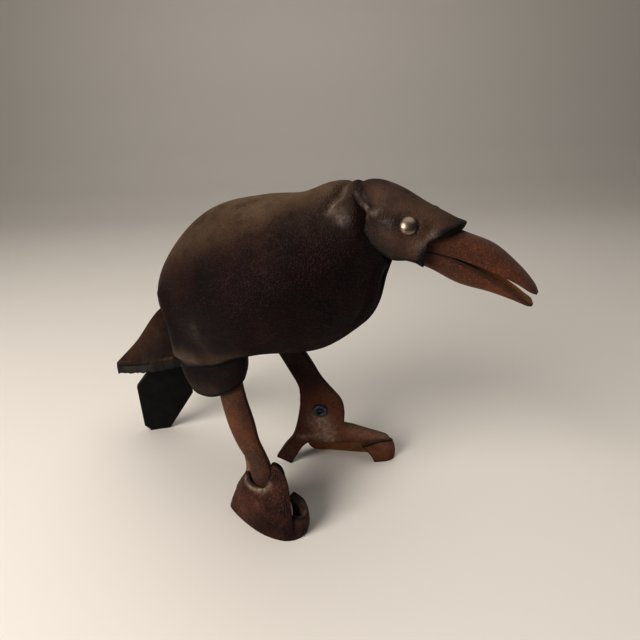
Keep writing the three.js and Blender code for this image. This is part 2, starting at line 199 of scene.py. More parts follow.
def finish_mesh(bm, name, materials, levels=0):
    """Makes the bmesh an object of the scene, in metres, in its place in the frame."""
    bmesh.ops.remove_doubles(bm, verts=bm.verts, dist=1e-4)
    bmesh.ops.recalc_face_normals(bm, faces=bm.faces)
    bmesh.ops.translate(bm, verts=bm.verts, vec=Vector(ORIGIN))
    bmesh.ops.scale(bm, verts=bm.verts, vec=Vector((MM, MM, MM)))
    mesh = bpy.data.meshes.new(name)
    bm.to_mesh(mesh)
    bm.free()
    mesh.shade_smooth()
    for material in materials:
        mesh.materials.append(material)
    piece = bpy.data.objects.new(name, mesh)
    bpy.context.scene.collection.objects.link(piece)
    if levels:
        rounding = piece.modifiers.new("Rounded edges", "SUBSURF")
        rounding.levels = rounding.render_levels = levels
    return piece


def paint(bm, layers):
    """Writes painted layers on the vertices: soft marks of dye and wear, and of painted light, shade and highlight,
    from 0 up.
    """
    where = np.array([v.co for v in bm.verts])
    for name, features in layers.items():
        layer = bm.verts.layers.float.new(name)
        for vert, value in zip(bm.verts, marks(where, features)):
            vert[layer] = value


def tight(t, steps, rim):
    """Even places from 0 to 1, but with a first and a last step only as long as the rim."""
    k = t * steps
    return np.select([k < 0.5, k > steps - 0.5], [0.0, 1.0], rim + (1 - 2 * rim) * (k - 1) / (steps - 2))


def bent_sheet(name, steps, place, materials, layers, rim=RIM):
    """A sheet of many small faces, bent by place(along 0..1, across -1..1, depth 0..1)."""
    bm = bmesh.new()
    bmesh.ops.create_grid(bm, x_segments=steps[0], y_segments=steps[1], size=0.5)
    made = bmesh.ops.extrude_face_region(bm, geom=bm.faces[:], use_keep_orig=True)
    raised = [part for part in made["geom"] if isinstance(part, bmesh.types.BMVert)]
    bmesh.ops.translate(bm, verts=raised, vec=(0, 0, 1))
    for face in bm.faces:
        depths = [v.co.z for v in face.verts]
        face.material_index = GRAIN if max(depths) < 0.5 else FLESH if min(depths) > 0.5 else EDGE
    spots = np.array([v.co for v in bm.verts])
    middle = np.linspace(0, 1, 60)
    zero, half = np.zeros(60), np.full(60, 0.5)
    lengths = [
        np.linalg.norm(np.diff(place(*line, zero), axis=0), axis=1).sum()
        for line in ((middle, zero), (half, 2 * middle - 1))
    ]
    along = tight(spots[:, 0] + 0.5, steps[0], rim / lengths[0])
    across = 2 * tight(spots[:, 1] + 0.5, steps[1], rim / lengths[1]) - 1
    for vert, point in zip(bm.verts, place(along, across, spots[:, 2])):
        vert.co = point
    rims = np.flatnonzero(np.abs(spots[:, :2]).max(axis=1) > 0.4999)
    tree = kdtree.KDTree(len(rims))
    bm.verts.ensure_lookup_table()
    for index in rims:
        tree.insert(bm.verts[index].co, index)
    tree.balance()
    layer = bm.verts.layers.float.new("from_edge")
    for vert in bm.verts:
        vert[layer] = tree.find(vert.co)[2]
    paint(bm, layers)
    return finish_mesh(bm, name, materials, 1)


def cut_in_steps(bm, axis, low, high, step):
    """Cuts a flat shape across at even steps, so that it can bend."""
    normal = [0.0, 0.0, 0.0]
    normal[axis] = 1.0
    for at in np.arange(low + step / 2, high, step):
        point = [0.0, 0.0, 0.0]
        point[axis] = at
        everything = bm.verts[:] + bm.edges[:] + bm.faces[:]
        bmesh.ops.bisect_plane(bm, geom=everything, dist=1e-4, plane_co=point, plane_no=normal)


def cut_plate(outline, thickness, bevel, segments=3):
    """A flat piece cut to an outline in x and y, with both of its rims rounded over."""
    bm = bmesh.new()
    bm.faces.new([bm.verts.new((x, y, 0)) for x, y in outline])
    made = bmesh.ops.extrude_face_region(bm, geom=bm.faces[:], use_keep_orig=True)
    raised = [part for part in made["geom"] if isinstance(part, bmesh.types.BMVert)]
    bmesh.ops.translate(bm, verts=raised, vec=(0, 0, thickness))
    rims = [e for e in bm.edges if abs(e.verts[0].co.z - e.verts[1].co.z) < 1e-6]
    rounded = bmesh.ops.bevel(
        bm, geom=rims, offset=bevel, segments=segments, profile=0.5, affect="EDGES", material=-1
    )
    for face in bm.faces:
        face.material_index = GRAIN if len(face.verts) > 4 else EDGE
    for face in rounded["faces"]:
        face.material_index = EDGE
    bmesh.ops.triangulate(bm, faces=[f for f in bm.faces if len(f.verts) > 4])
    return bm


def turned(name, profile, centre, axis, materials, levels=1, steps=24):
    """A round piece spun from a profile of radius and height, closed on itself or on its axis."""
    bm = bmesh.new()
    verts = [bm.verts.new((r, 0, h)) for r, h in profile]
    edges = [bm.edges.new(pair) for pair in zip(verts, verts[1:] + verts[:1])]
    bmesh.ops.spin(
        bm, geom=verts + edges, cent=(0, 0, 0), axis=(0, 0, 1), angle=math.tau,
        steps=steps, use_merge=True,
    )
    bmesh.ops.remove_doubles(bm, verts=bm.verts, dist=1e-4)
    turn = Vector(axis).to_track_quat("Z", "Y").to_matrix().to_4x4()
    bmesh.ops.transform(bm, matrix=Matrix.Translation(Vector(centre)) @ turn, verts=bm.verts)
    return finish_mesh(bm, name, materials, levels)


def finished(piece, node):
    """The piece rides on the bird and stands for its solid, which it hides."""
    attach(piece, "root")
    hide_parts(node)


# Materials

NOISE, CELLS, RANGE = "ShaderNodeTexNoise", "ShaderNodeTexVoronoi", "ShaderNodeMapRange"
MIX, RAMP, BUMP = "ShaderNodeMix", "ShaderNodeValToRGB", "ShaderNodeBump"
PAINT, MATHS = "ShaderNodeAttribute", "ShaderNodeMath"


def colour(text):
    """An sRGB hex value as linear red, green, blue and alpha."""
    channels = [int(text[i:i + 2], 16) / 255 for i in (1, 3, 5)]
    return [c / 12.92 if c <= 0.04045 else ((c + 0.055) / 1.055) ** 2.4 for c in channels] + [1.0]


def add(tree, kind, inputs=None, out=0, stops=None, **settings):
    """Adds a node with its settings, its values or links and a ramp's stops, and gives an output."""
    node = tree.nodes.new(kind)
    for key, value in settings.items():
        setattr(node, key, value)
    for key, value in (inputs or {}).items():
        if isinstance(value, bpy.types.NodeSocket):
            tree.links.new(value, node.inputs[key])
        else:
            node.inputs[key].default_value = value
    if stops:
        ramp = node.color_ramp.elements
        ramp[0].position, ramp[1].position = stops[0][0], stops[-1][0]
        for place, _ in stops[1:-1]:
            ramp.new(place)
        for stop, (_, shade) in zip(ramp, stops):
            stop.color = shade
    return node if out is None else node.outputs[out]


def dyed(shades, tint):
    """Shades of the dye as a ramp's stops, each times the tint that the user has chosen."""
    chosen = (*getattr(bpy.context.scene.raven_sizes, tint), 1.0)
    places = np.linspace(0.34, 0.66, len(shades))
    return [(place, [a * b for a, b in zip(colour(shade), chosen)]) for place, shade in zip(places, shades)]


def new_finish(name):
    """An empty material, with its shader and its pattern's coordinates in millimetres."""
    material = bpy.data.materials.new(name)
    material.use_nodes = True
    tree = material.node_tree
    tree.nodes.clear()
    shader = add(tree, "ShaderNodeBsdfPrincipled", out=None)
    add(tree, "ShaderNodeOutputMaterial", {"Surface": shader.outputs[0]}, out=None)
    place = add(tree, "ShaderNodeTexCoord", out="Object")
    where = add(tree, "ShaderNodeMapping", {"Vector": place, "Scale": (1000, 1000, 1000)})
    return material, tree, shader, where


def patches(tree, where, size, low, high, share=1.0, detail=4.0):
    """Soft patches about as wide as the size in millimetres, from none up to the share."""
    cloud = add(tree, NOISE, {"Vector": where, "Scale": 1 / size, "Detail": detail, "Roughness": 0.6})
    limits = {"Value": cloud, "From Min": low, "From Max": high, "To Min": 0.0, "To Max": share}
    return add(tree, RANGE, limits, interpolation_type="SMOOTHSTEP")


def painted(tree, where, name, size, least, most=1.0):
    """A painted layer, broken up into patches of a size in millimetres."""
    paint_layer = add(tree, PAINT, out="Fac", attribute_name=name)
    broken = add(tree, NOISE, {"Vector": where, "Scale": 1 / size, "Detail": 4.0})
    kept = add(tree, RANGE, {"Value": broken, "From Min": 0.35, "From Max": 0.65, "To Min": least,
                             "To Max": most})
    return add(tree, MATHS, {0: paint_layer, 1: kept}, operation="MULTIPLY", use_clamp=True)


def coated(tree, base, *coats):
    """Lays coats of colour over a base, each by its share."""
    for share, shade in coats:
        base = add(tree, MIX, {0: share, 6: base, 7: colour(shade)}, out=2, data_type="RGBA")
    return base


def rough_surface(tree, *layers):
    """The surface's direction, bent by layers of height, each with its depth in millimetres."""
    normal = None
    for height, depth in layers:
        inputs = {"Height": height, "Distance": depth * MM}
        if normal:
            inputs["Normal"] = normal
        normal = add(tree, BUMP, inputs)
    return normal


def leather(name, shades, tint="hide_tint", cloud=24, blot="#0c0706", blots=0.5, ochre_and_painted_light="#74604c", wear_and_painted_highlight="#8a7058",
            dark="#0d0908", pebble=1.3, pebble_depth=0.1, creases=0.35, speck=0.6, specks=0.3, glint=None,
            dyed_edge=2.2, roughness=(0.5, 0.72), ior=1.22, sheen=0.0):
    """Leather: mottled dye, pebble grain or brushed nap, painted ochre, dark and wear that are partly painted light,
    shade and highlight, and a dyed edge.
    """
    material, tree, shader, where = new_finish(name)
    mottle = add(tree, NOISE, {"Vector": where, "Scale": 1 / cloud, "Detail": 5.0, "Roughness": 0.6})
    base = add(tree, RAMP, {"Fac": mottle}, stops=dyed(shades, tint))
    # Warm brown painted on: ochre dye in places, and painted light on tops and faces turned to the lamps.
    base = coated(
        tree, base,
        (painted(tree, where, "ochre_and_painted_light", 6, 0.55), ochre_and_painted_light),
        (patches(tree, where, 6, 0.46, 0.7, blots), blot),
    )
    nap = add(tree, NOISE, {"Vector": where, "Scale": 1 / speck, "Detail": 2.0, "Roughness": 0.6})
    grain = nap
    if pebble:
        cells = add(tree, CELLS, {"Vector": where, "Scale": 1 / pebble}, feature="DISTANCE_TO_EDGE")
        grain = add(tree, RANGE, {"Value": cells, "From Max": 0.3}, interpolation_type="SMOOTHSTEP")
        between = add(tree, RANGE, {"Value": cells, "From Max": 0.16, "To Min": creases, "To Max": 0.0})
        base = coated(tree, base, (between, dark))
    # Dark and pale specks; on the hide's grain the pale specks take the glint colour, as painted glints of sheen.
    low_nap = add(tree, RANGE, {"Value": nap, "From Min": 0.46, "From Max": 0.3, "To Max": specks})
    pale_specks = add(tree, RANGE, {"Value": nap, "From Min": 0.54, "From Max": 0.72, "To Max": specks})
    distance = add(tree, PAINT, out="Fac", attribute_name="from_edge")
    rim = add(tree, RANGE, {"Value": distance, "From Min": dyed_edge / 2, "From Max": max(dyed_edge, 0.2),
                            "To Min": 0.95 if dyed_edge else 0.0, "To Max": 0.0})
    # Then painted dark, which is partly painted shade in creases and under overlaps; the dyed edge; and pale wear,
    # which is partly painted highlight on ridges and rims.
    base = coated(
        tree, base,
        (low_nap, dark),
        (pale_specks, glint or wear_and_painted_highlight),
        (painted(tree, where, "dark", 9, 0.75), dark),
        (rim, "#080605"),
        (painted(tree, where, "wear_and_painted_highlight", 2.2, 0.3), wear_and_painted_highlight),
    )
    tree.links.new(base, shader.inputs["Base Color"])
    waxed = add(tree, NOISE, {"Vector": where, "Scale": 1 / 7, "Detail": 3.0})
    shine = add(tree, RANGE, {"Value": waxed, "From Min": 0.3, "From Max": 0.7,
                              "To Min": roughness[0], "To Max": roughness[1]})
    tree.links.new(shine, shader.inputs["Roughness"])
    wrinkles = add(tree, NOISE, {"Vector": where, "Scale": 1 / 5, "Detail": 3.0})
    tree.links.new(rough_surface(tree, (wrinkles, 0.3), (grain, pebble_depth)), shader.inputs["Normal"])
    shader.inputs["IOR"].default_value = ior
    shader.inputs["Sheen Weight"].default_value = sheen
    shader.inputs["Sheen Roughness"].default_value = 0.5
    return material


def plated_metal(name, bright, tarnish, roughness, patch):
    """Plated brass, antiqued: dark where polish never reaches, brighter where it is handled."""
    material, tree, shader, where = new_finish(name)
    base = coated(tree, colour(bright), (patches(tree, where, patch, 0.4, 0.7, 0.5), tarnish))
    tree.links.new(base, shader.inputs["Base Color"])
    scuffs = add(tree, NOISE, {"Vector": where, "Scale": 1 / 0.6, "Detail": 3.0})
    dull = add(tree, RANGE, {"Value": scuffs, "From Min": 0.3, "From Max": 0.7,
                             "To Min": roughness, "To Max": roughness + 0.15})
    tree.links.new(dull, shader.inputs["Roughness"])
    tree.links.new(rough_surface(tree, (scuffs, 0.02)), shader.inputs["Normal"])
    shader.inputs["Metallic"].default_value = 1.0
    return material


def studio_paint(name, roughness):
    """Matt paint of the studio's floor."""
    material, tree, shader, where = new_finish(name)
    shader.inputs["Base Color"].default_value = (*bpy.context.scene.raven_sizes.floor_colour, 1.0)
    shader.inputs["Roughness"].default_value = roughness
    return material


def hide_grain():
    """Vegetable-tanned cowhide, wetted, moulded and dyed: uneven dark brown with a low wax shine."""
    # Its glint colour is a painted highlight: pale glints of sheen on the grain.
    return leather("Cowhide, dyed grain side", ["#110809", "#190a0c", "#220e0e", "#2d1711"],
                   blots=0.15, wear_and_painted_highlight="#82766c", glint="#5c4038", speck=0.75, specks=0.36, pebble=1.2, pebble_depth=0.17,
                   roughness=(0.46, 0.62), ior=1.2)


def hood_grain():
    """The same hide on the head, warmer and lighter than on the body."""
    return leather("Cowhide, grain side of the head", ["#1a0e0d", "#2b1814", "#3e261c", "#4a3024"],
                   ochre_and_painted_light="#5c4230", wear_and_painted_highlight="#85776d", blots=0.3, dyed_edge=1.0, specks=0.12,
                   roughness=(0.36, 0.56), ior=1.3)


def hide_edge():
    """The hide's cut edge, painted with black edge dye: darker and duller than the grain."""
    return leather("Cowhide, black cut edge", ["#080606", "#0c0908", "#110d0b"], pebble=0,
                   pebble_depth=0.08, wear_and_painted_highlight="#5d5046", dyed_edge=0, roughness=(0.5, 0.7))


def hide_flesh():
    """The hide's flesh side, never dyed but darkened by handling: rough, fibrous, mid brown."""
    return leather("Cowhide, flesh side", ["#3a2416", "#4a2f1d", "#5d3d26"], pebble=0, specks=0.5,
                   wear_and_painted_highlight="#8a6748", dyed_edge=0, roughness=(0.85, 0.95), sheen=0.1)


def beak_suede():
    """Split leather with its nap brushed up: red-brown, matt, speckled light and dark."""
    return leather("Suede, red-brown", ["#3c1e10", "#4c2916", "#593119"], "suede_tint", cloud=16, pebble=0, speck=0.65,
                   specks=0.55, blot="#2a130b", blots=0.35, wear_and_painted_highlight="#84502f", dark="#1c0d08",
                   pebble_depth=0.14, dyed_edge=0, roughness=(0.85, 0.95), ior=1.45, sheen=0.12)


def beak_inside():
    """The undyed flesh side inside the beak: pale tan where it turns up to the light."""
    return leather("Flesh side, undyed", ["#6f4829", "#855833", "#98693f"], pebble=0, specks=0.3,
                   dyed_edge=0, wear_and_painted_highlight="#c79460", dark="#5a3518", roughness=(0.85, 0.95), sheen=0.1)


def strap_suede():
    """Oiled suede of the leg straps: russet, with dark specks where the nap is rubbed down."""
    return leather("Suede, russet", ["#361d10", "#472813", "#563119"], "suede_tint", cloud=14, pebble=0, speck=0.7,
                   specks=0.5, blot="#2e170e", blots=0.35, wear_and_painted_highlight="#7c4d28", dark="#1f0f08",
                   pebble_depth=0.14, dyed_edge=0, roughness=(0.85, 0.95), ior=1.45, sheen=0.12)


def foot_grain():
    """Oiled leather of the feet: red-brown, speckled, rubbed grey-tan where it bends; the same grey-tan is also
    painted light on the strips and painted highlight on the boot.
    """
    return leather("Oiled leather, red-brown", ["#2b1713", "#3a2019", "#492a1f", "#563527"], "foot_tint", cloud=11,
                   pebble=0.9, pebble_depth=0.07, specks=0.22, creases=0.3, ochre_and_painted_light="#86543c",
                   wear_and_painted_highlight="#a89282", dark="#1b0b0d", dyed_edge=1.0, roughness=(0.55, 0.75))


def foot_edge():
    """The feet's cut edge, burnished with a stick: dark brown and smooth, pale where it is rubbed and where highlight
    is painted along the boot's lip.
    """
    return leather("Burnished cut edge", ["#1c100c", "#2b1913", "#38231a"], pebble=0, pebble_depth=0.06,
                   wear_and_painted_highlight="#a48c74", dyed_edge=0, roughness=(0.55, 0.7))


def tail_grain():
    """The tail's grain side: orange-brown where the dye took least, purple-dark towards the body."""
    return leather("Cowhide, tail's grain side", ["#170b08", "#20110b", "#2a180e", "#341e11"], cloud=15,
                   ochre_and_painted_light="#452a17", wear_and_painted_highlight="#7a6048", dark="#110a0a", dyed_edge=0.8,
                   roughness=(0.62, 0.8))


def black_split():
    """Split leather dyed black through: dead matt, with faint lighter fibres."""
    return leather("Split leather, black", ["#050505", "#080808", "#0d0c0c"], cloud=9, pebble=0,
                   specks=0.35, wear_and_painted_highlight="#26221f", dark="#020202", pebble_depth=0.15, dyed_edge=0,
                   roughness=(0.8, 0.95), ior=1.35)


def antique_nickel():
    """Nickel-plated brass rivet cap, antiqued: warm grey with brown tarnish."""
    return plated_metal("Antique nickel", "#8a7d70", "#463a2e", 0.28, 4.0)


def gunmetal():
    """Dark-plated brass eyelet: blue-grey, dulled by wax from the leather round it."""
    return plated_metal("Gunmetal plate", "#5a646e", "#22262b", 0.36, 2.0)


def finish(make):
    """A finish, made once and then shared by its pieces."""
    if make.__name__ not in MADE:
        MADE[make.__name__] = make()
    return MADE[make.__name__]


MADE = {}


# The hide: body, hood and cuffs

BODY_STATIONS = [
    (-69, 114, -64, 22, 105, -57, 27, 88),
    (-72.3, 127.5, -58, 30, 114, -50, 29.5, 87),
    (-64, 147, -48.5, 37, 118, -42, 31, 88.5),
    (-41, 167, -30, 42, 123, -24, 31.5, 95.5),
    (-14, 174, -2, 42.5, 132, 0, 27, 104.5),
    (10, 176.5, 20, 37, 142, 24.5, 8.5, 106),
    (29, 181.9, 37, 25, 152, 45.5, 1.2, 124),
    (42, 179, 46.5, 17, 162.5, 51.5, 1.2, 143),
    (49.5, 177.6, 53, 12.6, 166, 53.6, 1.2, 149.5),
]
HOOD_STATIONS = [
    (38.2, 180.6, 51, 16.2, 173, 49.6, 16.4, 165.6),
    (44.8, 183.4, 55.5, 17.5, 170.8, 54.3, 17, 160.3),
    (54, 181.4, 59.8, 17.5, 169, 61, 15.3, 155.3),
    (67, 175.4, 68, 15.5, 165, 68.5, 13.3, 155.2),
    (84.4, 168.6, 74.6, 12.4, 162.8, 73.2, 12, 153),
]
CUFF_TOP = [
    (-54.5, -19, 90), (-57.5, -24, 89), (-51, -29.8, 90.5), (-38, -30.4, 94), (-25, -30.4, 98),
    (-15, -29.3, 102), (-10.2, -25.5, 103), (-13, -20, 103),
]
CUFF_BOTTOM = [
    (-49, -19, 76.5), (-53.5, -24, 75.5), (-46.5, -28.2, 72), (-38.5, -28.8, 71.3), (-29.5, -29, 73.7),
    (-20, -28.3, 79), (-13.5, -24.5, 85), (-15.5, -19, 87),
]
LEFT_CUFF_TOP = [
    (-54, 19, 90), (-57, 24, 89), (-51, 30, 90.5), (-38, 31, 93.5), (-25, 33, 96),
    (-14, 34.5, 99), (-7.5, 33, 101), (-7, 28, 103),
]
LEFT_CUFF_BOTTOM = [
    (-46, 19, 79), (-48, 24, 78), (-42, 30, 76.5), (-33, 34.5, 76), (-25, 37.5, 78),
    (-15.5, 40, 82.5), (-8, 38.5, 88), (-6.5, 33, 91),
]
CUFF_BULGE = 1.4
EYE_PLACE = (0.747, 0.45)
EYE_RING = 6.2
FAR_SIDE = 0.7

# Marks of the moulding, each a line on the leather, a half-width and a height, in millimetres.
NECK_RELIEF = [
    ([(38, -3, 180.6), (42.5, -10, 177.5), (45, -15, 173.5), (45.5, -17, 169), (46.5, -17, 165)], 4.2, 3.0),
    ([(39.7, -16.5, 170.5)], 5, 1.6),
    ([(35.5, -2, 181.5), (35.4, -8, 179.4), (35.2, -13, 176.5), (34.6, -18, 172.5)], 1.8, -2.8),
    ([(29, -8, 181), (30, -16, 175.5)], 6, 1.0),
    ([(52.5, -6, 150), (50, -6, 141), (46.5, -6, 131), (41, -6.5, 121)], 1.7, -1.1),
]
FLANK_RELIEF = [
    ([(-50, -36, 130), (-46, -38, 127), (-43, -38.6, 115), (-47, -34, 103), (-50, -32, 97)], 3.6, 2.4),
    ([(-27, -41, 119), (-30, -38.5, 107)], 6, -2.4),
    ([(-36, -38, 122), (-38, -36, 106)], 4, -0.6),
    ([(-48, -33, 95), (-34, -34, 96.5), (-20, -32, 98.5)], 3.2, 1.4),
    ([(30, -26, 132), (42, -14, 143)], 9, -1.5),
    ([(52.5, -3.5, 149), (48, -2.6, 134), (40, -3.6, 122)], 3.5, 0.9),
    ([(-20, -41, 130), (-5, -42, 128)], 14, 0.8),
]
BREAST_LAP = [
    ([(52.5, -1.2, 146), (51.5, -1.2, 143), (47.5, -1.2, 133), (45, -1.2, 127)], 1.6, -0.9),
]
HOOD_RELIEF = [
    ([(43.5, -8, 181), (49, -12.5, 178.6), (53, -15.6, 175.6)], 1.6, -1.7),
    ([(46.5, -11.5, 180.3), (50.9, -14.8, 177.4), (53.7, -16, 175.6)], 1.3, 0.8),
    ([(54.6, -17.2, 173.3), (56.5, -16.8, 173.4)], 1.8, 0.9),
    ([(51, -11, 180), (54.5, -15, 176.4)], 2.6, -0.7),
    ([(56, -17.5, 165), (60, -16.5, 159)], 4.5, -0.5),
    ([(71.5, -14, 162), (76, -11.5, 167)], 3, -0.6),
    ([(83.6, -3, 169), (80.8, -9, 168), (77.8, -11.5, 165.6), (73.6, -12.5, 161), (72, -13, 156)], 1.8, 0.4),
    ([(79, -4, 171.5), (76.5, -10.5, 168), (73, -13, 164.5)], 2.2, -0.15),
]


def hood_surface(along, across):
    return folded(HOOD_STATIONS, 0.6, 1.4)(along, across)


def eye_place(side):
    """Where an eye sits on the hood, and which way it looks."""
    along, across = np.array([EYE_PLACE[0]]), np.array([-side * EYE_PLACE[1]])
    return hood_surface(along, across)[0], -square_to(hood_surface, along, across)[0]


def eye_ring():
    """A ring on the hood round the right eye, where the cap has pressed the leather up."""
    centre, axis = eye_place(RIGHT)
    turn = Vector(axis).to_track_quat("Z", "Y").to_matrix()
    around = np.linspace(0, math.tau, 13)
    return [tuple(Vector(centre) + turn @ Vector((math.cos(t), math.sin(t), 0)) * EYE_RING)
            for t in around]


def both_sides(features, share=FAR_SIDE):
    return features + mirrored(features, share)


class RavenHide(bpy.types.Operator):
    """Builds the moulded hide: the hollow body, the hood and the two cuffs"""

    bl_idname = "raven.hide"
    bl_label = "Moulded Hide"

    def execute(self, context):
        thickness = context.scene.raven_sizes.hide_thickness / MM
        leather_sides = [finish(hide_grain), finish(hide_edge), finish(hide_flesh)]
        self.build_body(thickness, leather_sides)
        self.build_hood(thickness, leather_sides)
        for name, side in SIDES.items():
            self.build_cuff(name, side, thickness, leather_sides)
        return {"FINISHED"}

    def build_body(self, thickness, leather_sides):
        ochre_and_painted_light = [
            # Painted light on the top of the back, lit from above, over a little ochre.
            ([(-64, 0, 147), (-41, 0, 167), (-14, 0, 174), (20, 0, 179)], 18, 0.8),
            # Painted highlight on the upper flank, where the window's light falls.
            ([(-50, -22, 145), (-30, -28, 159), (0, -22, 170)], 12, 0.6),
            ([(-62, -24, 125), (-55, -30, 108)], 9, 0.5),
            ([(-50, -31.8, 96), (-32, -34, 97), (-8, -30, 101)], 5.5, 0.6),
            ([(33, -10, 180), (39, -15, 172)], 6, 0.25),
        ]
        wear_and_painted_highlight = [
            # Painted highlight on the neck's lobe.
            ([(39, -17.5, 172), (42, -18.6, 170)], 2.3, 0.8),
            # Light lines on the neck's creases: wear, and painted highlight on their ridges.
            ([(34.6, -12.5, 174.8), (34.4, -16, 172)], 1.8, 1.0),
            ([(37.6, -8, 179.4), (37.4, -13, 176.8)], 1.1, 0.8),
            ([(36.4, -4, 180.8), (36.4, -9, 178.6)], 1.0, 0.5),
            # Painted sheen in the flank's dent.
            ([(-27, -41, 118), (-30, -38.5, 108)], 4, 0.16),
            ([(-47, -33, 95.5), (-36, -34, 96)], 3, 0.3),
        ]
        dark = [
            # Painted shade: a dark line where the breast's two flaps lap.
            ([(52.5, -5.2, 150), (50, -5.2, 141), (46.5, -5.2, 131), (39, -5.6, 119)], 1.1, 1.0),
            # Painted shade on the body under the hood's rim.
            ([(47.5, -15, 164), (50, -11, 156)], 3, 0.8),
            ([(40, -19, 166), (44, -16, 163)], 2.5, 0.7),
            ([(-20, -40, 122), (-30, -34, 104)], 12, 0.5),
        ]
        even = lambda along: np.full(len(along), thickness)
        relief = both_sides(NECK_RELIEF + FLANK_RELIEF) + BREAST_LAP
        place = thick(folded(BODY_STATIONS), even, relief=relief)
        layers = {"ochre_and_painted_light": both_sides(ochre_and_painted_light), "wear_and_painted_highlight": both_sides(wear_and_painted_highlight), "dark": both_sides(dark)}
        finished(bent_sheet("hide_body", (92, 128), place, leather_sides, layers), "hide")

    def build_hood(self, thickness, leather_sides):
        ochre_and_painted_light = [
            ([(52, -8, 181), (55, -14, 177)], 4, 0.9),
            # Painted light on the top of the hood, over some ochre.
            ([(56, -5, 181), (62, -10, 176), (70, -6, 174)], 7, 0.8),
            ([(66, -6, 175), (76, -4, 172)], 7, 0.55),
            ([(62, -16, 160), (70, -14, 160)], 7, 0.6),
            # Painted highlight where the hood curves out in front of the eye.
            ([(72, -14, 164), (77, -11, 168)], 3.5, 0.7),
        ]
        wear_and_painted_highlight = [
            # Light lines on the hood's rear rim and creases: wear, and painted highlight on their ridges.
            ([(38.8, -5.5, 180.4), (45.4, -12.4, 178.2), (51.2, -15.8, 174.8)], 0.6, 1.0),
            ([(51.4, -16.6, 174), (51.2, -16.8, 171.5)], 1.2, 0.35),
            ([(48.5, -13.2, 179), (53.7, -16, 175.6)], 0.7, 0.4),
            ([(54.6, -17.2, 173.3), (56.5, -16.8, 173.4)], 1.5, 0.6),
            # Painted highlight where the hood curves out in front of the eye.
            ([(70, -14, 161.5), (75.5, -11.8, 166)], 2.4, 0.35),
            ([(60, -17.4, 169), (60, -16.8, 164)], 3, 0.18),
        ]
        dark = [
            # Painted shade in the valley beside the rear rim and under its lower end.
            ([(43, -8.5, 180.5), (48, -13, 178), (52.3, -16, 175.2)], 1.6, 0.7),
            ([(50.2, -16.5, 169), (50.4, -17, 163)], 1.6, 0.6),
            (eye_ring(), 1.0, 0.25),
            # The front and lower edges: black edge dye, and painted shade beneath them.
            ([(84, 0, 168.6), (82.6, -6, 167.6), (80.8, -9, 167.6), (77.8, -11.5, 165.4), (73.6, -12.5, 161),
              (72, -13, 155)], 1.5, 1.4),
            ([(72.5, -12.2, 154), (68.5, -13.5, 155), (61, -15.5, 155), (54.3, -17, 160), (51, -16.7, 164)],
             1.2, 1.1),
            # Painted shade on the lower side of the hood.
            ([(56, -17, 162), (62, -16, 158)], 5, 0.5),
        ]
        even = lambda along: np.full(len(along), thickness)
        relief = both_sides(HOOD_RELIEF + [(eye_ring(), 1.8, 0.4)])
        layers = {"ochre_and_painted_light": both_sides(ochre_and_painted_light), "wear_and_painted_highlight": both_sides(wear_and_painted_highlight), "dark": both_sides(dark)}
        hood = bent_sheet("hide_hood", (84, 96), thick(hood_surface, even, relief=relief),
                          [finish(hood_grain), *leather_sides[1:]], layers)
        finished(hood, "hide")

    def build_cuff(self, name, side, thickness, leather_sides):
        rims = (CUFF_BOTTOM, CUFF_TOP) if side == RIGHT else (LEFT_CUFF_BOTTOM, LEFT_CUFF_TOP)
        surface = rimmed(*rims, CUFF_BULGE, (-30, 20 * side))
        even = lambda along: np.full(len(along), thickness)
        layers = {
            # Painted shadow on the cuff's top, under the hide's edge, and painted light on its lower bulge.
            "dark": [([(x, y, z - 2) for x, y, z in rims[1]], 7, 1.0)],
            "ochre_and_painted_light": [([(x, y, z + 4) for x, y, z in rims[0][2:5]], 4, 0.25)],
        }
        cuff = bent_sheet(f"hide_cuff_{name}", (72, 22), thick(surface, even, inwards=side),
                          leather_sides, layers)
        finished(cuff, "hide")


# The beak

UPPER_BEAK_STATIONS = [
    (60, 170, 60, 8, 163, 61, 7.6, 157),
    (74, 168.2, 73, 7.2, 162, 74, 7, 157.9),
    (84, 165.5, 84, 6.6, 160.8, 85.5, 6.3, 156),
    (95.5, 162, 95, 6.2, 157, 96, 5.7, 153.1),
    (105.2, 154.9, 105, 4.6, 152, 105.2, 4.3, 149.4),
    (110.6, 149.4, 110.4, 3.4, 147.9, 110.2, 3.2, 146.6),
    (112.8, 146, 112.7, 1.2, 145.6, 112.6, 1, 145.2),
]
LOWER_BEAK_STATIONS = [
    (62, 152, 62, 7, 156, 62, 7.4, 158.5),
    (72, 150.2, 73, 6.6, 154, 74, 7, 157.9),
    (84, 145.6, 84.5, 5.6, 149.4, 85.5, 6.4, 154.3),
    (96, 144, 96, 5.2, 146.8, 96, 5.9, 149.8),
    (104.5, 142.4, 105, 4.6, 143.7, 104.8, 5.1, 145),
    (109.6, 140.9, 110, 3, 141.3, 110, 3.3, 141.8),
    (111.4, 140.4, 111.5, 0.9, 140.6, 111.6, 1.1, 140.8),
]
BEAK_TIP_THINNING = 0.62


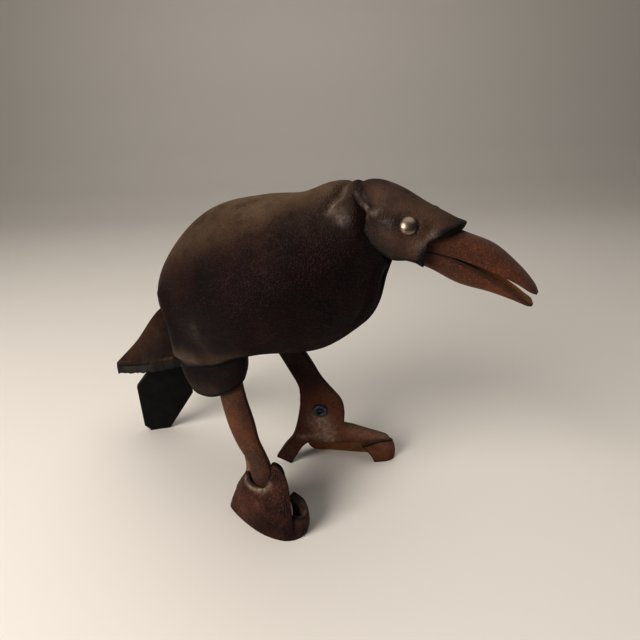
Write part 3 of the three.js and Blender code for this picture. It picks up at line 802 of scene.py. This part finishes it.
class RavenBeak(bpy.types.Operator):
    """Builds the two folded jaws of the beak"""

    bl_idname = "raven.beak"
    bl_label = "Suede Beak"

    def execute(self, context):
        thickness = context.scene.raven_sizes.beak_thickness / MM
        thin = lambda along: thickness * (1 - BEAK_TIP_THINNING * along**3)
        suede = [finish(beak_suede), finish(beak_suede), finish(beak_inside)]
        jaws = {"beak_upper": (UPPER_BEAK_STATIONS, 1), "beak_lower": (LOWER_BEAK_STATIONS, -1)}
        layers = {
            # Painted shade on the beak's base, under the hood.
            "dark": [([(64, 0, 164), (70, 0, 160)], 12, 0.7)],
            "wear_and_painted_highlight": both_sides([([(74, -7.3, 162), (77, -7, 163)], 3.5, 0.35)]),
        }
        for name, (stations, inwards) in jaws.items():
            place = thick(folded(stations, 0.6, 1.2), thin, inwards)
            finished(bent_sheet(name, (64, 48), place, suede, layers), "beak")
        return {"FINISHED"}


# The tail

TAIL_STATIONS = [
    (-56, 103, -56, 17.6, 95, -58, 23.2, 88),
    (-78, 106.5, -76, 17, 94, -72, 23, 82),
    (-95, 103.5, -92, 14.5, 88, -88, 21, 75),
    (-126, 74.5, -122, 7.5, 67, -117, 11.5, 62),
    (-156, 49.5, -156, 2, 48.5, -154, 3.5, 48),
]
TAIL_THICKNESS = 6.5
TAIL_RAGGED = 0.5
TAIL_LOWER_FRONT = [(7.6, -3), (8.4, 0), (18.6, 39.5), (12, 58), (8, 98.8)]
TAIL_LOWER_REAR = [(-8, 98.8), (-12, 58), (-18.6, 39.5), (-9, 3), (-4.6, -0.5), (-4.6, -3)]
TAIL_LOWER_BASE = (-127.7, 1.1, 0)
TAIL_LOWER_UP = (0.3821, 0.0412, 0.9232)
TAIL_LOWER_FACE = (0.6816, -0.6872, -0.2514)


class RavenTail(bpy.types.Operator):
    """Builds the folded upper tail and the flat lower tail that props the bird up"""

    bl_idname = "raven.tail"
    bl_label = "Tail"

    def execute(self, context):
        self.build_fold()
        self.build_prop(context.scene.raven_sizes.plate_thickness / MM)
        return {"FINISHED"}

    def build_fold(self):
        surface = folded(TAIL_STATIONS, 0.6, 1.2)

        def place(along, across, depth):
            points = surface(along, across)
            ragged = np.sin(along * 61) * np.sin(along * 23 + 1) + 0.5 * np.sin(along * 140)
            points[:, 2] -= (TAIL_THICKNESS + TAIL_RAGGED * ragged) * depth
            return points

        layers = {
            "ochre_and_painted_light": both_sides([([(-134, -2, 66), (-112, -8, 80), (-96, -10, 92)], 10, 0.9)]),
            # Painted highlight along the upper tail's edge.
            "wear_and_painted_highlight": both_sides([([(-154, -2, 50.2), (-132, -7.4, 58.8), (-93, -20, 74), (-66, -23.6, 85)],
                                 0.6, 0.4)]),
            "dark": both_sides([([(-70, -17, 97), (-80, -20, 82)], 9, 0.7)]),
        }
        sides = [finish(tail_grain), finish(hide_edge), finish(black_split)]
        finished(bent_sheet("tail_fold", (72, 56), place, sides, layers), "tail_upper")

    def build_prop(self, plate):
        bm = cut_plate(TAIL_LOWER_FRONT + TAIL_LOWER_REAR, plate, 0.5)
        up = Vector(TAIL_LOWER_UP).normalized()
        wide = up.cross(Vector(TAIL_LOWER_FACE)).normalized()
        out = wide.cross(up).normalized()
        stand = Matrix((wide, up, out)).transposed().to_4x4()
        stand.translation = Vector(TAIL_LOWER_BASE) - out * plate
        bmesh.ops.transform(bm, matrix=stand, verts=bm.verts)
        everything = bm.verts[:] + bm.edges[:] + bm.faces[:]
        cut = bmesh.ops.bisect_plane(
            bm, geom=everything, plane_co=(0, 0, 0), plane_no=(0, 0, 1), clear_inner=True
        )
        rim = [e for e in cut["geom_cut"] if isinstance(e, bmesh.types.BMEdge)]
        bmesh.ops.holes_fill(bm, edges=rim)
        lower = finish_mesh(bm, "tail_prop", [finish(black_split), finish(hide_edge)])
        finished(lower, "tail_lower")


# Legs and feet, in each foot's own frame: ahead of the ankle, outwards from the strip, and up

LEGS = {
    RIGHT: {
        "ankle": (-14, -20.8), "heading": 0.0, "twist": 0.0, "lean": 3.5,
        "shank": [(97, -18.5, -7), (84, -16.8, -6.2), (72, -15.2, -3.5), (60, -12.5, 0.5),
                  (50, -10, 2), (46, -9, 3)],
        "front": [(3, 46), (4, 42), (10, 36), (18.5, 30), (19.5, 22)],
        "toe": [(19.5, 22), (20, 14)],
        "under": [(20, 12.5), (6, 13.5), (-3, 14), (-7, 11), (-9, 4.5), (-10, 0)],
        "rear": [(-17, 3), (-13, 13), (-9, 20), (-4.5, 28), (-5, 38), (-9, 46)],
        "strap": [(-14, 97, 7.8), (-11.4, 85, 8.2), (-8.2, 72, 8.6), (-3.5, 60, 9), (0.6, 50, 8),
                  (5.2, 43, 7.3), (7.8, 37, 7.3), (8.5, 31, 7.3), (8.9, 23, 6.6)],
        "wall_bottom": [(-14, 0.5), (-16.5, 4.5), (-15, 8.2), (-8.6, 10.8), (0, 13), (8, 14.3),
                        (14, 14.7), (19, 14.4), (23.5, 13.6), (27, 12.4), (29.6, 10.6), (31.6, 8.4),
                        (33.2, 4.8), (33.2, 0.3), (30, -4.4), (22.5, -7)],
        "wall_top": [(-4.5, 0.8, 24), (-3, 3.5, 27.5), (-0.4, 7, 31), (1.6, 10, 29), (5.5, 11, 27),
                     (11.5, 11, 27.4), (15.8, 10.4, 30.6), (16.6, 8, 37), (17, 6.2, 42.6),
                     (22.8, 5.2, 40), (26.4, 5.2, 31), (27.6, 6.8, 14), (33.4, 5.2, 12.8),
                     (34.6, 0.6, 14), (29.8, -3.6, 17), (21.8, -4.9, 18.4)],
    },
    LEFT: {
        "ankle": (-5.2, 32.6), "heading": 0.5854, "twist": -0.4, "lean": 0.0,
        "shank": [(96, -31, -15.5), (84, -26.6, -9.7), (72, -19.6, -3.3), (60, -13.3, 2.8),
                  (50, -12, 10.2), (46, -12.2, 13)],
        "front": [(13, 46), (14.6, 42.2), (15.4, 36.3), (15, 27.6)],
        "toe": [(15, 27.6), (20.7, 26), (26.7, 23.6), (38.2, 19.2), (43, 16.8), (45.7, 12.5)],
        "under": [(45.5, 9), (26.7, 12.5), (8.7, 13.5), (-5.3, 15), (-9.3, 13.5), (-12.4, 10.8),
                  (-15.8, 5.5), (-19.8, 0)],
        "rear": [(-28.8, 4.5), (-22.6, 13.6), (-17.8, 19.6), (-14.8, 28.6), (-12.4, 41.1), (-12.2, 46)],
        "strap": [(-25.3, 97, 8), (-18.6, 82, 8), (-13, 72, 7.9), (-7, 60, 7.6), (-4, 50, 7.4),
                  (-1, 41, 7), (0.5, 34, 6.8), (0.5, 26, 6)],
        "wall_bottom": [(-12, 3.5, 14), (-13.5, 7.5, 13), (-11, 12, 9), (-6, 13.2, 2), (0, 13.7),
                        (4, 13.3), (8, 12.9), (12, 12.3), (16, 11.6), (21, 10.7), (28, 9.7), (36, 8.9),
                        (42.5, 7), (47, 4), (47.4, 0.2), (43.2, -3), (34, -4)],
        "wall_top": [(-11, 3, 24), (-10.5, 6.5, 28), (-8.5, 10, 33), (-6, 11, 30), (-2.5, 11.3, 27),
                     (3, 11.3, 27), (6.8, 10.8, 30), (8.6, 8.6, 36), (11.5, 6, 37), (14, 5.4, 32),
                     (15.5, 6, 20), (21, 6.6, 13.5), (34, 6.8, 13), (42, 5.6, 13.2), (46, 2.4, 13.8),
                     (44.8, -0.7, 14.4), (38, -2.8, 15.2), (25.8, -3.2, 11.8)],
    },
}
FOOT_THICKNESS = 3.2
WALL_THICKNESS = 2.8
WALL_BULGE = 1.2
HOOK_SWELL = 0.7
WALL_MIDDLE = (10, 3)
STRAP_THICKNESS = 4.0
STRAP_GAP = 0.6
STRAP_CROWN = 0.5
TONGUE_START = 0.9
TONGUE_ROUNDING = 0.95
TONGUE_CROWDING = 1.4
TWIST_HEIGHTS = (56, 88)
LEAN_HEIGHTS = (45, 92)
EYELET_HEIGHT = 38.4
SPUR_BEND = 2.2
SPUR_HEIGHT = 15
STRIP_STEP = 3.0


def smoothstep(value, low, high):
    t = np.clip((value - low) / (high - low), 0, 1)
    return t * t * (3 - 2 * t)


def standing(side):
    """Takes points of a foot's own frame to the bird's: heading, twist and lean."""
    leg = LEGS[side]
    heights, aheads = zip(*sorted((up, ahead) for ahead, up, half in leg["strap"]))

    def turned_by(angle, along, out):
        return np.stack([
            np.cos(angle) * along - np.sin(angle) * side * out,
            np.sin(angle) * along + np.cos(angle) * side * out,
        ], axis=1)

    def place(points):
        ahead, out, up = np.array(points, float).T
        middle = np.interp(up, heights, aheads)
        angle = leg["heading"] + leg["twist"] * smoothstep(up, *TWIST_HEIGHTS)
        lean = leg["lean"] * smoothstep(up, *LEAN_HEIGHTS)
        flat = (
            np.array(leg["ankle"])
            + turned_by(leg["heading"], middle, FOOT_THICKNESS - lean)
            + turned_by(angle, ahead - middle, out - FOOT_THICKNESS)
        )
        return np.column_stack([flat, up])

    return place


def on_foot(side, features):
    """Marks given in a foot's own frame, taken to the bird's."""
    return [(standing(side)(line), width, height) for line, width, height in features]


def strip_outline(leg):
    """The strip's outline, from the hip down the front, round both toes and up the rear."""
    front = [(ahead, up) for up, rear, ahead in leg["shank"]] + leg["front"][1:]
    rear = leg["rear"][:-1] + [(ahead, up) for up, ahead, fore in reversed(leg["shank"])]
    runs = [(front, 30), (leg["toe"], 12), (leg["under"], 24), (rear, 34)]
    points = [tuple(p) for run, steps in runs for p in smooth(run, steps)]
    kept = [points[0]]
    for point in points[1:]:
        if math.dist(point, kept[-1]) > 0.3:
            kept.append(point)
    return kept


def strap_place(side):
    """Places the suede strap: rounded outside, flat inside, with a rounded tongue."""
    line = [(ahead, half, up) for ahead, up, half in LEGS[side]["strap"]]
    stand = standing(side)

    def place(along, across, depth):
        at = 1 - (1 - along) ** TONGUE_CROWDING
        ahead, half, up = curve(line, at).T
        run = curve(line, np.minimum(at + 0.01, 1)) - curve(line, np.maximum(at - 0.01, 0))
        run[:, 1] = 0
        run = unit(run)
        in_tongue = np.maximum(0, (at - TONGUE_START) / (1 - TONGUE_START))
        off = half * np.sqrt(1 - (TONGUE_ROUNDING * in_tongue) ** 2) * across
        thickness = STRAP_THICKNESS * (1 - STRAP_CROWN * across**4)
        return stand(np.column_stack([
            ahead - run[:, 2] * off,
            FOOT_THICKNESS + STRAP_GAP + (1 - depth) * thickness,
            up + run[:, 0] * off,
        ]))

    return place


class RavenLegs(bpy.types.Operator):
    """Builds the two suede straps of the legs"""

    bl_idname = "raven.legs"
    bl_label = "Strap Legs"

    def execute(self, context):
        suede = [finish(strap_suede)] * 3
        for name, side in SIDES.items():
            layers = {
                "wear_and_painted_highlight": on_foot(side, [([(-12, 8, 80), (-10, 8, 66), (-5, 8, 56)], 4, 0.3)]),
                # Painted shade on the strap where it comes out under the cuff and where its tongue dips into the boot.
                "dark": on_foot(side, [([(-14, 8, 97), (-12, 8, 90)], 9, 0.6),
                                       ([(11, 8, 29), (14, 8, 32)], 2.5, 0.5)]),
            }
            strap = bent_sheet(f"strap_{name}", (84, 22), strap_place(side), suede, layers, 0.3)
            finished(strap, f"leg_{name}")
        return {"FINISHED"}


# Colour, wear, painted light and painted shade of the feet, in each foot's own frame.
STRIP_SHADES = {
    # Grey-tan wear below the eyelet and warm brown over the foot, both made stronger as painted light, where the
    # body's shadow falls on the far foot.
    "wear_and_painted_highlight": [([(-1, 0, 31), (3, 0, 24), (5, 0, 17)], 6, 0.9), ([(-13, 0, 19), (-1, 0, 18.4)], 2, 0.5),
             ([(20, 0, 22), (31, 0, 19), (40, 0, 17)], 4, 0.4)],
    "ochre_and_painted_light": [([(0, 0, 46), (4, 0, 25), (24, 0, 19), (42, 0, 15)], 14, 1.0)],
    # Dark on the upper strip; painted shade on the spur's tip, which faces down, and in the eyelet's bore.
    "dark": [([(-3, 0, 55), (0, 0, 62), (-10, 0, 80), (-20, 0, 96)], 13, 0.6), ([(-23, 0, 3)], 7, 0.5),
             ([(0, 0, EYELET_HEIGHT)], 2.8, 2.0)],
}
WALL_SHADES = {
    # The lip's pale cut edge with a painted highlight where it faces up, a painted highlight on a small bump, and
    # painted light on the hook's inner face.
    "wear_and_painted_highlight": [([(1.6, 10.5, 29), (5.5, 11, 27), (11.5, 11, 27.4), (16.5, 10.6, 31)], 2.2, 0.85),
             ([(-14, 3, 16), (-8, 9, 24)], 4, 0.3), ([(25, 14, 9)], 1.2, 0.9),
             ([(28, -3, 14), (32, 0, 10)], 4, 0.5)],
    "ochre_and_painted_light": [([(-6, 12, 18), (4, 14, 14)], 8, 0.2)],
    "dark": [([(14, 15, 5), (28, 12, 6), (34, 3, 8)], 8, 0.6)],
}
TOE_SHADES = {
    "wear_and_painted_highlight": [([(38, -3, 12), (46, 0, 10)], 3, 0.2)],
    "ochre_and_painted_light": [([(30, -4, 6), (44, -3, 8)], 10, 1.0)],
    "dark": [],
}


class RavenFeet(bpy.types.Operator):
    """Builds each foot: the flat strip with its toes, and the moulded wall outside it"""

    bl_idname = "raven.feet"
    bl_label = "Feet"

    def execute(self, context):
        for name, side in SIDES.items():
            self.build_strip(name, side)
            self.build_wall(name, side)
        return {"FINISHED"}

    def build_strip(self, name, side):
        leg = LEGS[side]
        outline = strip_outline(leg)
        bm = cut_plate(outline, FOOT_THICKNESS, 0.6)
        cut_in_steps(bm, 1, 0, 97, STRIP_STEP)
        cut_in_steps(bm, 0, -32, 48, STRIP_STEP)
        spots = np.array([v.co for v in bm.verts])
        flat = spots * (1, 1, 0)
        rim = bm.verts.layers.float.new("from_edge")
        closed = [(x, y, 0) for x, y in outline + outline[:1]]
        for vert, distance in zip(bm.verts, from_line(flat, closed)):
            vert[rim] = distance
        spur = (spots[:, 0] < leg["under"][0][0] / 2) & (spots[:, 1] < SPUR_HEIGHT)
        bend = np.where(spur, SPUR_BEND * np.maximum(0, 1 - spots[:, 1] / SPUR_HEIGHT) ** 2, 0)
        own = np.column_stack([spots[:, 0], spots[:, 2] - bend, spots[:, 1]])
        for vert, point in zip(bm.verts, standing(side)(own)):
            vert.co = point
        paint(bm, {layer: on_foot(side, features) for layer, features in STRIP_SHADES.items()})
        strip = finish_mesh(bm, f"foot_strip_{name}", [finish(foot_grain), finish(foot_edge)])
        finished(strip, f"foot_{name}")

    def build_wall(self, name, side):
        leg = LEGS[side]
        bottom = [(*p, 0) if len(p) == 2 else p for p in leg["wall_bottom"]]
        surface = rimmed(bottom, leg["wall_top"], WALL_BULGE, WALL_MIDDLE)
        swell = lambda along: WALL_THICKNESS * (1 + HOOK_SWELL * smoothstep(along, 0.82, 0.94))
        own = thick(surface, swell)
        stand = standing(side)

        def place(along, across, depth):
            points = own(along, across, depth)
            points[:, 2] = np.maximum(points[:, 2], 0.02)
            return stand(points)

        shades = WALL_SHADES if side == RIGHT else TOE_SHADES
        inside = hide_flesh if side == RIGHT else beak_inside
        sides = [finish(foot_grain), finish(foot_edge), finish(inside)]
        layers = {layer: on_foot(side, features) for layer, features in shades.items()}
        wall = bent_sheet(f"foot_wall_{name}", (120, 26), place, sides, layers)
        finished(wall, f"foot_{name}")


# Eyes and eyelets

EYE_RISE = 2.0
EYE_PIN = 2.8
PEENED_HEAD = 0.8
EYELET_RISE = 1.6
EYELET_BARREL = 5.0
EYELET_BORE = 3.7
CLEARANCE = 0.3


class RavenFastenings(bpy.types.Operator):
    """Builds the riveted eyes and the ankle eyelets"""

    bl_idname = "raven.fastenings"
    bl_label = "Eyes and Eyelets"

    def execute(self, context):
        sizes = context.scene.raven_sizes
        for name, side in SIDES.items():
            self.build_eye(name, side, sizes.eye_diameter / MM, sizes.hide_thickness / MM)
            self.build_eyelet(name, side, sizes.eyelet_diameter / MM)
        return {"FINISHED"}

    def build_eye(self, name, side, diameter, hide):
        cap, pin, head = diameter / 2, EYE_PIN / 2, EYE_PIN * 0.8
        inside = -(hide + 3 * CLEARANCE)
        turns = np.linspace(0, 0.92, 8) * math.pi / 2
        dome = [(cap * math.sin(t), 0.1 + (EYE_RISE - 0.1) * math.cos(t)) for t in turns]
        skirt = [(cap, 0.35), (cap * 0.97, 0.1), (pin, 0.1), (pin, inside), (head, inside)]
        peened = [(head, inside - PEENED_HEAD), (0, inside - PEENED_HEAD)]
        centre, axis = eye_place(side)
        eye = turned(f"eye_cap_{name}", dome + skirt + peened, centre, axis, [finish(antique_nickel)])
        finished(eye, f"eye_rivet_{name}")

    def build_eyelet(self, name, side, diameter):
        bore, barrel, rim = EYELET_BORE / 2, EYELET_BARREL / 2, diameter / 2
        end = CLEARANCE - FOOT_THICKNESS
        turns = np.linspace(0, math.pi, 7)
        middle, roll = (bore + rim) / 2, (rim - bore) / 2
        flange = [(middle - roll * math.cos(t), 0.5 + (EYELET_RISE - 0.5) * math.sin(t)) for t in turns]
        profile = [(bore, end)] + flange + [(rim, 0.05), (barrel, 0.05), (barrel, end)]
        leg = LEGS[side]
        inner = (math.sin(leg["heading"]) * side, -math.cos(leg["heading"]) * side, 0)
        centre = (*leg["ankle"], EYELET_HEIGHT)
        eyelet = turned(f"eyelet_{name}", profile, centre, inner, [finish(gunmetal)])
        finished(eyelet, f"ankle_eyelet_{name}")


# The studio

CAMERA_PLACE = (135.5, -180.9, 206)
CAMERA_AZIMUTH = 33.0
CAMERA_PITCH = -22.6
CAMERA_ROLL = -1.72
CAMERA_LENS = 27.05
DEEP_SHADOWS = 0.78
SWEEP_PROFILE = [(-2.5, 0), (0.9, 0), (1.15, 0.03), (1.35, 0.12), (1.5, 0.28), (1.58, 0.5), (1.6, 2.6)]
SWEEP_WIDTH = 7.0
AIM = (-10, 0, 90)
LIGHTS = {
    "Window": ((-260, -900, 620), 0.75, 13.5, "#fffaf5"),
    "Ceiling": ((60, 100, 1250), 1.5, 8, "#fbf8f4"),
}


def area_light(name, place_mm, size, power, shade):
    light = bpy.data.lights.new(name, "AREA")
    light.shape = "DISK"
    light.size = size
    light.energy = power
    light.color = colour(shade)[:3]
    lamp = bpy.data.objects.new(name, light)
    bpy.context.scene.collection.objects.link(lamp)
    place = Vector(ORIGIN + np.array(place_mm)) * MM
    aim = Vector(ORIGIN + np.array(AIM)) * MM
    lamp.location = place
    lamp.rotation_euler = (aim - place).to_track_quat("-Z", "Y").to_euler()


class RavenStage(bpy.types.Operator):
    """Sets the plain pale floor, the soft studio light and the camera"""

    bl_idname = "raven.stage"
    bl_label = "Studio"

    def execute(self, context):
        scene = context.scene
        self.build_floor()
        for name, (place, size, power, shade) in LIGHTS.items():
            area_light(name, place, size, power, shade)
        world = bpy.data.worlds.new("Soft room")
        world.use_nodes = True
        room = world.node_tree.nodes["Background"]
        room.inputs["Color"].default_value = colour("#e2e0de")
        room.inputs["Strength"].default_value = 0.13
        scene.world = world
        camera = bpy.data.cameras.new("Camera")
        camera.lens = CAMERA_LENS
        camera.clip_start = 0.01
        viewer = bpy.data.objects.new("Camera", camera)
        scene.collection.objects.link(viewer)
        turn = Euler((math.radians(90 + CAMERA_PITCH), 0, math.radians(CAMERA_AZIMUTH))).to_matrix()
        roll = Matrix.Rotation(math.radians(CAMERA_ROLL), 3, "Z")
        place = Matrix.Translation(Vector(ORIGIN + np.array(CAMERA_PLACE)) * MM)
        viewer.matrix_world = place @ (turn @ roll).to_4x4()
        scene.camera = viewer
        scene.view_settings.view_transform = "Standard"
        scene.view_settings.gamma = DEEP_SHADOWS
        return {"FINISHED"}

    def build_floor(self):
        """A floor that sweeps up behind the bird, square to the camera's view."""
        bm = bmesh.new()
        verts = [bm.verts.new((-SWEEP_WIDTH / 2, y, z)) for y, z in SWEEP_PROFILE]
        edges = [bm.edges.new(pair) for pair in zip(verts, verts[1:])]
        made = bmesh.ops.extrude_edge_only(bm, edges=edges)
        moved = [part for part in made["geom"] if isinstance(part, bmesh.types.BMVert)]
        bmesh.ops.translate(bm, verts=moved, vec=(SWEEP_WIDTH, 0, 0))
        turn = Matrix.Rotation(math.radians(CAMERA_AZIMUTH), 4, "Z")
        bmesh.ops.transform(bm, matrix=turn, verts=bm.verts)
        bmesh.ops.recalc_face_normals(bm, faces=bm.faces)
        mesh = bpy.data.meshes.new("Floor")
        bm.to_mesh(mesh)
        bm.free()
        mesh.shade_smooth()
        mesh.materials.append(studio_paint("Pale floor paint", 0.5))
        floor = bpy.data.objects.new("Floor", mesh)
        bpy.context.scene.collection.objects.link(floor)


class RavenSizes(bpy.types.PropertyGroup):
    """The bird's driving sizes and the colours of its dyes"""

    hide_thickness: FloatProperty(
        name="Hide thickness", description="Thickness of the moulded leather", default=3 * MM,
        min=1.5 * MM, max=5 * MM, unit="LENGTH")
    beak_thickness: FloatProperty(
        name="Beak thickness", description="Thickness of the beak's suede", default=3 * MM,
        min=1 * MM, max=5 * MM, unit="LENGTH")
    plate_thickness: FloatProperty(
        name="Lower tail thickness", description="Thickness of the black plate that props the bird",
        default=4 * MM, min=2 * MM, max=6 * MM, unit="LENGTH")
    eye_diameter: FloatProperty(
        name="Eye diameter", description="Diameter of the rivet caps", default=7.2 * MM,
        min=4 * MM, max=10 * MM, unit="LENGTH")
    eyelet_diameter: FloatProperty(
        name="Eyelet diameter", description="Outer diameter of the ankle eyelets",
        default=8.7 * MM, min=6 * MM, max=12 * MM, unit="LENGTH")
    hide_tint: FloatVectorProperty(
        name="Hide tint", description="Tint of the dye on the hide and the tail", subtype="COLOR",
        size=3, default=(1, 1, 1), min=0, max=1)
    suede_tint: FloatVectorProperty(
        name="Suede tint", description="Tint of the dye on the beak and the leg straps",
        subtype="COLOR", size=3, default=(1, 1, 1), min=0, max=1)
    foot_tint: FloatVectorProperty(
        name="Foot tint", description="Tint of the dye on the feet", subtype="COLOR", size=3,
        default=(1, 1, 1), min=0, max=1)
    floor_colour: FloatVectorProperty(
        name="Floor colour", description="Colour of the studio's floor", subtype="COLOR", size=3,
        default=colour("#ebe6df")[:3], min=0, max=1)


STEPS = (RavenHide, RavenBeak, RavenTail, RavenLegs, RavenFeet, RavenFastenings, RavenStage)


class RavenPanel(bpy.types.Panel):
    """Lists the bird's sizes and the steps that build it"""

    bl_idname = "VIEW3D_PT_raven"
    bl_label = "Leather Raven"
    bl_space_type = "VIEW_3D"
    bl_region_type = "UI"
    bl_category = "Raven"

    def draw(self, context):
        for key in RavenSizes.__annotations__:
            self.layout.prop(context.scene.raven_sizes, key)
        for step in STEPS:
            self.layout.operator(step.bl_idname)


CLASSES = (RavenSizes, *STEPS, RavenPanel)


def register():
    for cls in CLASSES:
        bpy.utils.register_class(cls)
    bpy.types.Scene.raven_sizes = PointerProperty(type=RavenSizes)


def unregister():
    del bpy.types.Scene.raven_sizes
    for cls in reversed(CLASSES):
        bpy.utils.unregister_class(cls)


def main():
    register()
    for step in STEPS:
        group, name = step.bl_idname.split(".")
        getattr(getattr(bpy.ops, group), name)()


if __name__ == "__main__":
    main()
